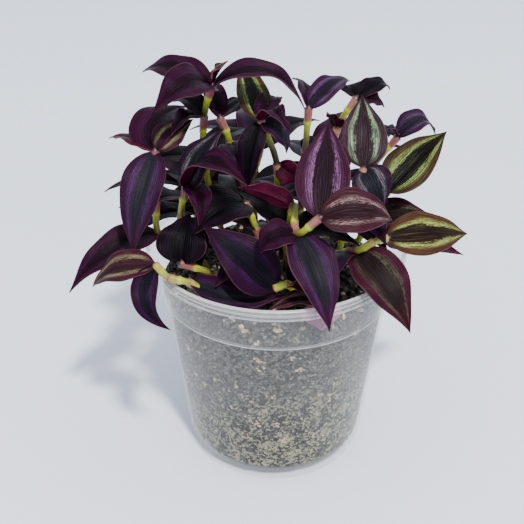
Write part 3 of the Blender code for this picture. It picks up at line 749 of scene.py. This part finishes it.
# The leaves that a look is for, by stem and rank, and what they are painted with, in sRGB: centre, stripe,
# margin and tip colours, how strong the stripe is, how much of it breaks up into flecks, and the underside.
Look = namedtuple("Look", "leaves centre stripe margin tip strength flecks under", defaults=((112, 16, 76),))
LOOKS = {
    "violet": Look("f0", (67, 49, 60), (160, 126, 160), (86, 46, 73), (92, 38, 74), 1.5, 0.8),
    "purple": Look("f2 c2 o2 k2", (66, 64, 72), (112, 72, 120), (78, 38, 74), (98, 28, 80), 1.1, 0.7),
    "lime": Look("i0 c0", (42, 31, 34), (172, 188, 128), (88, 68, 54), (82, 62, 46), 1.5, 0.75),
    "bronze": Look("g1", (66, 44, 44), (184, 192, 128), (104, 73, 60), (98, 62, 52), 1.6, 0.75),
    "silver": Look("h2", (76, 56, 68), (172, 192, 164), (86, 60, 75), (84, 58, 72), 1.6, 0.7),
    "rosy": Look("f1 q0", (70, 42, 54), (186, 164, 160), (92, 50, 67), (106, 50, 68), 1.1, 0.9),
    "speckled": Look("g0 i1", (62, 50, 51), (138, 138, 120), (88, 36, 64), (104, 26, 68), 0.8, 1.0),
    "slate": Look("h0 l0 b1", (60, 58, 68), (152, 148, 154), (72, 46, 70), (76, 40, 68), 1.2, 0.8),
    "olive": Look("a3 o1 k3", (84, 52, 64), (172, 166, 136), (90, 46, 68), (100, 46, 66), 1.4, 0.6),
    "lilac": Look("d0 j0 j1", (66, 52, 72), (136, 108, 146), (82, 46, 80), (86, 40, 76), 1.0, 0.7),
    "dusk": Look("n0 o0 h1 b2", (44, 38, 54), (94, 52, 104), (70, 28, 65), (84, 24, 68), 1.1, 0.5),
    # dark and shade: the deep wine of these leaves, painted darker still as shade where they sit deep inside
    # the plant.
    "dark": Look("a4 d2 e0 e2 k1 c4 m0 p0", (28, 20, 32), (70, 44, 78), (48, 16, 44), (62, 18, 52), 0.8, 0.5),
    "shade": Look("l3", (18, 14, 24), (52, 38, 62), (34, 14, 34), (44, 16, 40), 0.7, 0.5),
    "plum": Look(
        "a0 a1 a2 a5 b0 c1 c5 d1 e1 e3 f3 k0 k4 l1 l2",
        (56, 20, 48), (100, 48, 98), (78, 20, 66), (92, 26, 72), 0.8, 0.6,
    ),
    "magenta": Look(
        "c3 f4 g2 k5 q1", (86, 6, 58), (120, 34, 88), (102, 8, 68), (116, 16, 76), 0.5, 0.4, (118, 14, 78)
    ),
    "blush": Look(
        "q2", (176, 116, 148), (196, 154, 174), (180, 120, 152), (186, 128, 158), 0.5, 0.4, (176, 116, 148)
    ),
}
# Filler leaves inside and behind the plant draw from darker looks than the others: painted shade.
FILLER_LOOKS_IN_SHADE = ("dark", "plum", "dusk", "shade")
COMMON_LOOKS = ("dusk", "purple", "plum", "slate")
LEVEL, CONTRAST = 0.80, 1.55  # how the colours above and below deepen for the studio's light
TINT_SPREAD = 0.10  # from leaf to leaf, as a share

TAN, ROSE, YELLOW = (194, 160, 136), (150, 84, 96), (200, 208, 84)  # stems, in sRGB
OLIVE, BARK, BUD = (112, 106, 60), (58, 42, 42), (76, 34, 54)

BLADE_THICKNESS = 0.45
FINE_ROWS, FINE_COLUMNS = 34, 18
RIB_COUNT = 7
RIB_HEIGHT = 0.10
MIDRIB_DEPTH = 0.35
MIDRIB_WIDTH = 0.07  # as a share of the half-width
TUBE_SIDES = 14
TUBE_STEP = 0.7
CURVE_STEPS = 24
NODE_SWELL = 1.3  # length over which a node swells out of the stem
SHEATH_HAIRS = 16
HAIR_LENGTH = 1.9
HAIR_R = 0.06


def look_of(leaf_name, leaf, rng):
    """The look that names the leaf, or else one drawn from a few plain ones: darker ones, as painted shade,
    for filler leaves.
    """
    drawn = rng.choice(FILLER_LOOKS_IN_SHADE if leaf.filler else COMMON_LOOKS)
    return next((look for look in LOOKS.values() if leaf_name in look.leaves.split()), LOOKS[drawn])


def linear(color):
    """The linear colour that gives an sRGB colour of 0 to 255 in the studio's light."""
    return [LEVEL * ((value / 255 + 0.055) / 1.055) ** (2.4 * CONTRAST) for value in color]


def tinted(color, rng):
    scale = 1 + rng.uniform(-TINT_SPREAD, TINT_SPREAD)
    return [min(value * scale, 1.0) for value in linear(color)] + [1.0]


def blend(first, second, share):
    share = min(max(share, 0.0), 1.0)
    return [a + (b - a) * share for a, b in zip(first, second)]


def fine_blade(leaf, base, tip):
    """Rows of points with their place along and across, with ribs and a grooved midrib."""
    points, alongs, acrosses = [], [], []
    for row in range(FINE_ROWS + 1):
        t = (row / FINE_ROWS) ** 1.15
        spot = blade_frame(leaf, base, tip, t)
        face, half = spot[2], spot[3]
        for column in range(FINE_COLUMNS + 1):
            u = 2 * column / FINE_COLUMNS - 1
            ribs = RIB_HEIGHT * cos(pi * RIB_COUNT * abs(u)) * (1 - abs(u)) * min(half / 4, 1)
            groove = MIDRIB_DEPTH * exp(-((u / MIDRIB_WIDTH) ** 2)) * min(half / 5, 1)
            points.append(across_blade(leaf, spot, t, u) + face * (ribs - groove))
            alongs.append(t)
            acrosses.append(u)
    return points, alongs, acrosses


def make_leaves(name, blades, materials):
    """One piece with all blades of a stem, painted for the striped material."""
    rng = random.Random(f"leaves {name}")
    width = FINE_COLUMNS + 1
    corners = [row * width + column for row in range(FINE_ROWS) for column in range(FINE_COLUMNS)]
    grid = [(corner, corner + 1, corner + width + 1, corner + width) for corner in corners]
    verts, faces, layers = [], [], defaultdict(list)
    for rank, (leaf, base, tip) in enumerate(blades):
        look = look_of(f"{name}{rank}", leaf, rng)
        points, alongs, acrosses = fine_blade(leaf, base, tip)
        faces += shifted(grid, len(verts))
        verts += points
        layers["along"] += alongs
        layers["across"] += acrosses
        whole = {"seed": rng.uniform(0, 60), "stripe": look.strength * rng.uniform(0.9, 1.1)}
        whole["flecks"] = look.flecks
        for part in ("centre", "stripe", "margin", "tip", "under"):
            whole[f"{part}_tint"] = tinted(getattr(look, part), rng)
        for key, value in whole.items():
            layers[key] += [value] * len(points)
    leaves = piece(f"leaves_{name}", verts, faces, materials, "foliage")
    paint(leaves, layers)
    bm = bmesh.new()
    bm.from_mesh(leaves.data)
    bmesh.ops.remove_doubles(bm, verts=bm.verts, dist=0.00001)
    bm.normal_update()
    bm.to_mesh(leaves.data)
    bm.free()
    reshape(leaves, "SOLIDIFY", thickness=BLADE_THICKNESS * MM, offset=0.0, material_offset=1)
    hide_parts(f"leafy_stem_{name}")


def stem_rings(nodes, rng):
    """(centre, radius, colour) close together up the stem: sheath, bright node, then darker downwards."""
    line, at_node = smooth_line(nodes, CURVE_STEPS)
    rings = [(line[0] - UP * 6, STEM_R * 1.02, BARK)]
    for start, end in zip(at_node, at_node[1:]):
        room, sheath = room_and_sheath(line, start, end)
        dryness = rng.uniform(0.0, 1.0)
        cover = blend(YELLOW, blend(ROSE, TAN, dryness), (room - 5) / 8)
        steps = max(int(room / TUBE_STEP), 6)
        for step in range(steps):
            back = room * (1 - step / steps)
            spot = point_back(line, end, back)
            over = back - sheath
            if over < 0:
                lift = -over / sheath
                radius = NODE_R * 0.93 + (SHEATH_R - NODE_R * 0.93) * lift**1.5
                color = blend(YELLOW, cover, 3.5 * lift)
            else:
                swell = exp(-((over / NODE_SWELL) ** 2))
                radius = STEM_R + (NODE_R * 1.04 - STEM_R) * swell
                color = blend(YELLOW, OLIVE, over / 10.0)
                color = blend(color, BARK, (over - 9.0) / 22.0)
                color = blend(color, BARK, 0.6 * (104 - spot.z) / 10)
            if step or start == at_node[0]:
                rings.append((spot, radius, color))
        rings.append((line[end], SHEATH_R, blend(cover, ROSE, 0.5)))
    bud = (line[-1] - line[-2]).normalized()
    rings += [(line[-1] + bud * BUD_LENGTH * up, STEM_R * wide, BUD) for up, wide in ((0.5, 0.8), (1, 0.3))]
    return rings


def make_stem(name, nodes, material):
    rings = stem_rings(nodes, random.Random(f"stem {name}"))
    verts, tints, rounds, lengths = [], [], [], []
    axis, travelled = UP, 0.0
    for index, (centre, radius, color) in enumerate(rings):
        ahead = rings[min(index + 1, len(rings) - 1)][0] - rings[max(index - 1, 0)][0]
        axis = ahead.normalized() if ahead.length > 0.001 else axis
        spin = UP.rotation_difference(axis).to_matrix()
        if index:
            travelled += (centre - rings[index - 1][0]).length
        for side, spoke in enumerate(ring(1, TUBE_SIDES)):
            spoke = spin @ spoke
            wobble = 1 + 0.05 * noise.noise(centre * 0.35 + spoke * 1.5)
            verts.append(centre + spoke * radius * wobble)
            tints.append([*linear(color), 1.0])
            rounds.append(abs(side / TUBE_SIDES - 0.5) * 2)
            lengths.append(travelled)
    stem = piece(f"stem_{name}", verts, tube_faces(len(rings), TUBE_SIDES), [material], "foliage")
    paint(stem, {"tint": tints, "round": rounds, "length": lengths})


def make_hairs(stems, material):
    """Fine three-sided hairs round the mouth of each sheath."""
    rng = random.Random(31)
    verts, faces = [], []
    for stem in stems.values():
        line, at_node = smooth_line(stem.nodes, CURVE_STEPS)
        for start, end in zip(at_node, at_node[1:]):
            _, sheath = room_and_sheath(line, start, end)
            axis = (line[end] - line[end - 2]).normalized()
            spin = UP.rotation_difference(axis).to_matrix()
            for _ in range(SHEATH_HAIRS):
                angle = rng.uniform(0, tau)
                down = rng.choice((0.0, 0.3, rng.uniform(0.3, sheath)))
                out = spin @ polar(1, angle)
                root = point_back(line, end, down) + out * (SHEATH_R - 0.35)
                aim = (out + axis * rng.uniform(0.2, 1.4)).normalized()
                point = root + aim * HAIR_LENGTH * rng.uniform(0.5, 1)
                turn = axis.cross(out)
                faces += shifted([(0, 1, 3), (1, 2, 3), (2, 0, 3), (0, 2, 1)], len(verts))
                verts += [root + out * HAIR_R, root + turn * HAIR_R, root + turn * -HAIR_R, point]
    piece("sheath_hairs", verts, faces, [material], "foliage")


# ---- Pot and mix ----

FINE_SIDES, MIX_SIDES = 160, 220
CRUMB_DEPTH = 0.6  # the body of the mix lies this much under the solid's surface
BURIED = 0.4  # how deep the middle of a grain at the wall lies


def fine_pot_profile():
    """As pot_profile(), with a grooved lip, a bead along the ledge and a rounded heel."""
    floor = [(0, FLOOR_Z + WALL), (FOOT_R - 2.0, FLOOR_Z + WALL), (HEEL_R - WALL - 0.9, FLOOR_Z + WALL + 1.0)]
    # The radius and the depth under the top.
    groove = [(57.5, 1.0), (57.8, 0.3), (58.1, 0), (58.5, 0), (58.6, 0.18), (58.8, 0.18), (58.9, 0)]
    rim = [(59.5, 0.05), (59.85, 0.35), (60.0, 0.8), (60.0, 1.5), (59.75, 1.65), (59.75, 1.85), (60.0, 2.0)]
    lip = [(radius, POT_H - depth) for radius, depth in groove + rim]
    lip += [(59.95, LIP_LOW + 0.5), (59.7, LIP_LOW + 0.1), (59.2, LIP_LOW), (58.1, LIP_LOW - 0.05)]
    lip.append((COLLAR_TOP_R, LIP_LOW - 0.4))
    bead = [(COLLAR_FOOT_R + 0.05, 0.5), (COLLAR_FOOT_R, 0.1), (COLLAR_FOOT_R - 0.3, -0.2)]
    bead += [(SHOULDER_R + 0.3, -0.45), (SHOULDER_R, -0.8)]
    ledge = [(radius, LEDGE_Z + up) for radius, up in bead]
    heel = [(HEEL_R + 0.9, HEEL_Z + 8.0), (HEEL_R + 0.25, HEEL_Z + 2.0), (HEEL_R - 0.25, HEEL_Z - 0.8)]
    foot = [(1.8, 4.0), (0.9, 2.2), (0, 0.3), (-0.2, 0), (-1.2, 0), (-1.3, FLOOR_Z)]
    under = [(FOOT_R + out, z) for out, z in foot] + [(0, FLOOR_Z)]
    return [*floor, *inner_profile()[1:], *lip, *ledge, *heel, *under]


def pot_cutter():
    """The drain holes and the gaps in the foot ring, as one object."""
    mesh = bmesh.new()
    for index in range(DRAIN_COUNT):
        spot = place(polar(DRAIN_RING_R, tau * (index + 0.5) / DRAIN_COUNT, FLOOR_Z))
        bmesh.ops.create_cone(
            mesh, cap_ends=True, segments=20, radius1=DRAIN_R * MM, radius2=DRAIN_R * MM, depth=4 * MM,
            matrix=Matrix.Translation(spot),
        )
    block = Matrix.Diagonal((10 * MM, FOOT_GAP_WIDTH * MM, 2 * FOOT_GAP_HEIGHT * MM, 1))
    for azimuth in FOOT_GAP_ANGLES:
        spot = Matrix.Rotation(radians(azimuth), 4, "Z") @ Matrix.Translation((FOOT_R * MM, 0, 0))
        bmesh.ops.create_cube(mesh, size=1.0, matrix=Matrix.Translation(POT_AXIS) @ spot @ block)
    data = bpy.data.meshes.new("cutter")
    mesh.to_mesh(data)
    mesh.free()
    return in_scene("cutter", data)


def make_pot(material):
    pot = piece("clear_pot", *turned_mesh(fine_pot_profile(), FINE_SIDES), [material], "clear_pot")
    cutter = pot_cutter()
    reshape(pot, "BOOLEAN", operation="DIFFERENCE", solver="EXACT", object=cutter)
    bpy.data.objects.remove(cutter)
    pot.data.shade_smooth()
    pot.data.set_sharp_from_angle(angle=radians(32))
    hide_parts("pot")


def soil_radius(z):
    """The mix's radius at a height, just inside the wall."""
    wall = [(radius - SEAT_GAP, height) for radius, height in inner_profile()]
    for (low_r, low_z), (high_r, high_z) in zip(wall, wall[1:]):
        if z <= high_z:
            return low_r + (high_r - low_r) * max((z - low_z) / (high_z - low_z), 0.0)
    return wall[-1][0]


def soil_top(radius):
    """Height of the mix's surface at a distance from the pot's axis."""
    top = soil_profile()[: len(SOIL_TOP) + 2]
    for (near, near_z), (far, far_z) in zip(top, top[1:]):
        if radius <= far:
            return near_z + (far_z - near_z) * (radius - near) / (far - near)
    return top[-1][1]


def make_mix(material):
    """The body of the mix: its side follows the wall with hollows, its top is crumbly."""
    edge_r, edge_z = soil_profile()[len(SOIL_TOP) + 1]
    floor = FLOOR_Z + WALL + SEAT_GAP
    profile = [(r, soil_top(r) - CRUMB_DEPTH) for r in (0, *np.linspace(1.2, edge_r - 1.2, 44))]
    profile += [(soil_radius(z) - 0.15, z) for z in np.linspace(edge_z - 0.8, floor + 2.5, 90)]
    profile += [(FOOT_R - 4, floor + 0.2), (0, floor + 0.2)]
    verts, faces = turned_mesh(profile[::-1], MIX_SIDES)
    for vert in verts:
        radius = hypot(vert.x, vert.y)
        crumble = noise.fractal(vert * 0.34, 0.6, 2.2, 4)
        if vert.z > soil_top(radius) - 1.2 and radius < edge_r - 0.5:
            vert.z += 0.8 * crumble - 0.3
        elif vert.z > floor + 1:
            dent = max(crumble + 0.1, 0.0) * 0.9
            vert.x *= 1 - dent / radius
            vert.y *= 1 - dent / radius
    body = piece("mix_body", verts, faces, [material], "potting_mix")
    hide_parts("potting_mix")


def lump(rng, size, stretch):
    """A small irregular stone or chip: points round the origin, and faces."""
    mesh = bmesh.new()
    bmesh.ops.create_icosphere(mesh, subdivisions=2, radius=1.0)
    shift = Vector([rng.uniform(0, 50) for _ in range(3)])
    turn = rng.uniform(0, pi)
    spin = Matrix.Rotation(turn, 3, Vector((rng.random(), rng.random(), rng.random() + 0.1)))
    points = []
    for vert in mesh.verts:
        bumps = 0.45 * noise.noise(vert.co * 1.3 + shift) + 0.2 * noise.noise(vert.co * 3.5 + shift)
        scale = size * (1 + bumps)
        x, y, z = vert.co
        points.append(spin @ Vector((x * scale * stretch, y * scale, z * scale * 0.7)))
    faces = [tuple(vert.index for vert in face.verts) for face in mesh.faces]
    mesh.free()
    return points, faces


def pressed(point):
    """The point, or the nearest place to it that the wall leaves room for."""
    squeeze = min((soil_radius(point.z) + 0.1) / hypot(point.x, point.y), 1.0)
    return Vector((point.x * squeeze, point.y * squeeze, point.z))


def wall_spots(rng, count, low, high):
    """Places just inside the wall, in loose clusters."""
    spots = []
    while len(spots) < count:
        angle, z = rng.uniform(0, tau), rng.uniform(low, high)
        for _ in range(rng.choice((1, 2, 7, 12))):
            turn, height = angle + rng.gauss(0, 0.020), z + rng.gauss(0, 0.9)
            if low < height < high:
                spots.append(polar(soil_radius(height) - BURIED, turn, height))
    return spots


def top_spots(rng, count, sink):
    """Places on the mix, from its middle to near its edge."""
    reach = soil_profile()[len(SOIL_TOP)][0] - 2
    spots = []
    for _ in range(count):
        angle, radius = rng.uniform(0, tau), reach * sqrt(rng.random())
        spots.append(polar(radius, angle, soil_top(radius) - sink))
    return spots


def make_grains():
    """Loose grains in six pieces, each of many lumps."""
    bark = grain_material("bark", (0.24, 0.17, 0.09, 1), (0.60, 0.48, 0.29, 1))
    perlite = grain_material("perlite", (0.16, 0.15, 0.11, 1), (0.44, 0.42, 0.32, 1))
    peat = grain_material("peat", (0.003, 0.003, 0.003, 1), (0.020, 0.016, 0.013, 1))
    rng = random.Random(5)

    def scatter(name, spots, size, stretch, material):
        verts, faces = [], []
        for spot in spots:
            points, sides = lump(rng, rng.uniform(*size), rng.uniform(*stretch))
            faces += shifted(sides, len(verts))
            verts += [pressed(spot + point) for point in points]
        piece(name, verts, faces, [material], "potting_mix")

    scatter("bark_at_wall", wall_spots(rng, 900, 22, soil_top(48) - 3), (0.22, 0.6), (1.0, 2.4), bark)
    scatter("perlite_at_wall", wall_spots(rng, 500, 8, 62), (0.2, 0.45), (1.0, 1.8), perlite)
    scatter("peat_at_wall", wall_spots(rng, 1200, 8, 70), (0.3, 0.8), (1.0, 2.4), peat)
    scatter("bark_on_top", top_spots(rng, 140, 0.5), (0.5, 1.3), (1.2, 2.2), bark)
    scatter("peat_on_top", top_spots(rng, 420, 0.5), (0.7, 1.8), (1.0, 1.8), peat)
    scatter("perlite_on_top", top_spots(rng, 36, 0.4), (0.5, 1.2), (1.0, 1.3), perlite)


# ---- Stage, light and camera ----


def make_stage():
    """A floor that curves up far behind the pot."""
    verts = []
    for y in np.linspace(-FLOOR_HALF, FLOOR_HALF, FLOOR_ROWS + 1):
        rise = max(y - FLOOR_BEND_Y, 0.0)
        verts += [(x, y, rise * rise * 0.35) for x in (-FLOOR_HALF, FLOOR_HALF)]
    faces = [(2 * row, 2 * row + 1, 2 * row + 3, 2 * row + 2) for row in range(FLOOR_ROWS)]
    mesh = bpy.data.meshes.new("floor")
    mesh.from_pydata(verts, [], faces)
    mesh.shade_smooth()
    mesh.materials.append(floor_material())
    floor = in_scene("floor", mesh)


def make_lights():
    """A bright even sky and one small key light."""
    world = bpy.data.worlds.new("studio")
    world.use_nodes = True
    sky = world.node_tree.nodes["Background"]
    sky.inputs["Color"].default_value = WORLD_COLOR
    sky.inputs["Strength"].default_value = WORLD_STRENGTH
    bpy.context.scene.world = world
    light = bpy.data.lights.new("key", "AREA")
    set_up(light, shape="DISK", size=KEY_SIZE, energy=KEY_POWER, color=KEY_COLOR)
    lamp = in_scene("key", light)
    lamp.location = place((0, 0, 110)) + Vector(KEY_FROM)
    lamp.rotation_euler = (-Vector(KEY_FROM)).to_track_quat("-Z", "Y").to_euler()


def make_camera():
    lens = bpy.data.cameras.new("camera")
    camera = in_scene("camera", set_up(lens, sensor_width=CAMERA_SENSOR, lens=CAMERA_LENS))
    tilt = radians(CAMERA_ELEVATION)
    away = Vector((0, -cos(tilt), sin(tilt)))
    camera.location = place(CAMERA_AIM) + away * CAMERA_DISTANCE * MM
    camera.rotation_euler = (pi / 2 - tilt, 0, 0)
    bpy.context.scene.camera = camera


# ---- The scene ----

make_camera()
stems = with_lower_leaves(with_back_stems(STEMS))
blades = clear_leaves(stems)
leaf_materials = [leaf_top_material(), leaf_under_material()]
green_stem = stem_material()
for stem_name, stem in stems.items():
    make_leaves(stem_name, blades[stem_name], leaf_materials)
    make_stem(stem_name, stem.nodes, green_stem)
make_hairs(stems, hair_material())
make_pot(pot_material())
make_mix(mix_material())
make_grains()
make_stage()
make_lights()
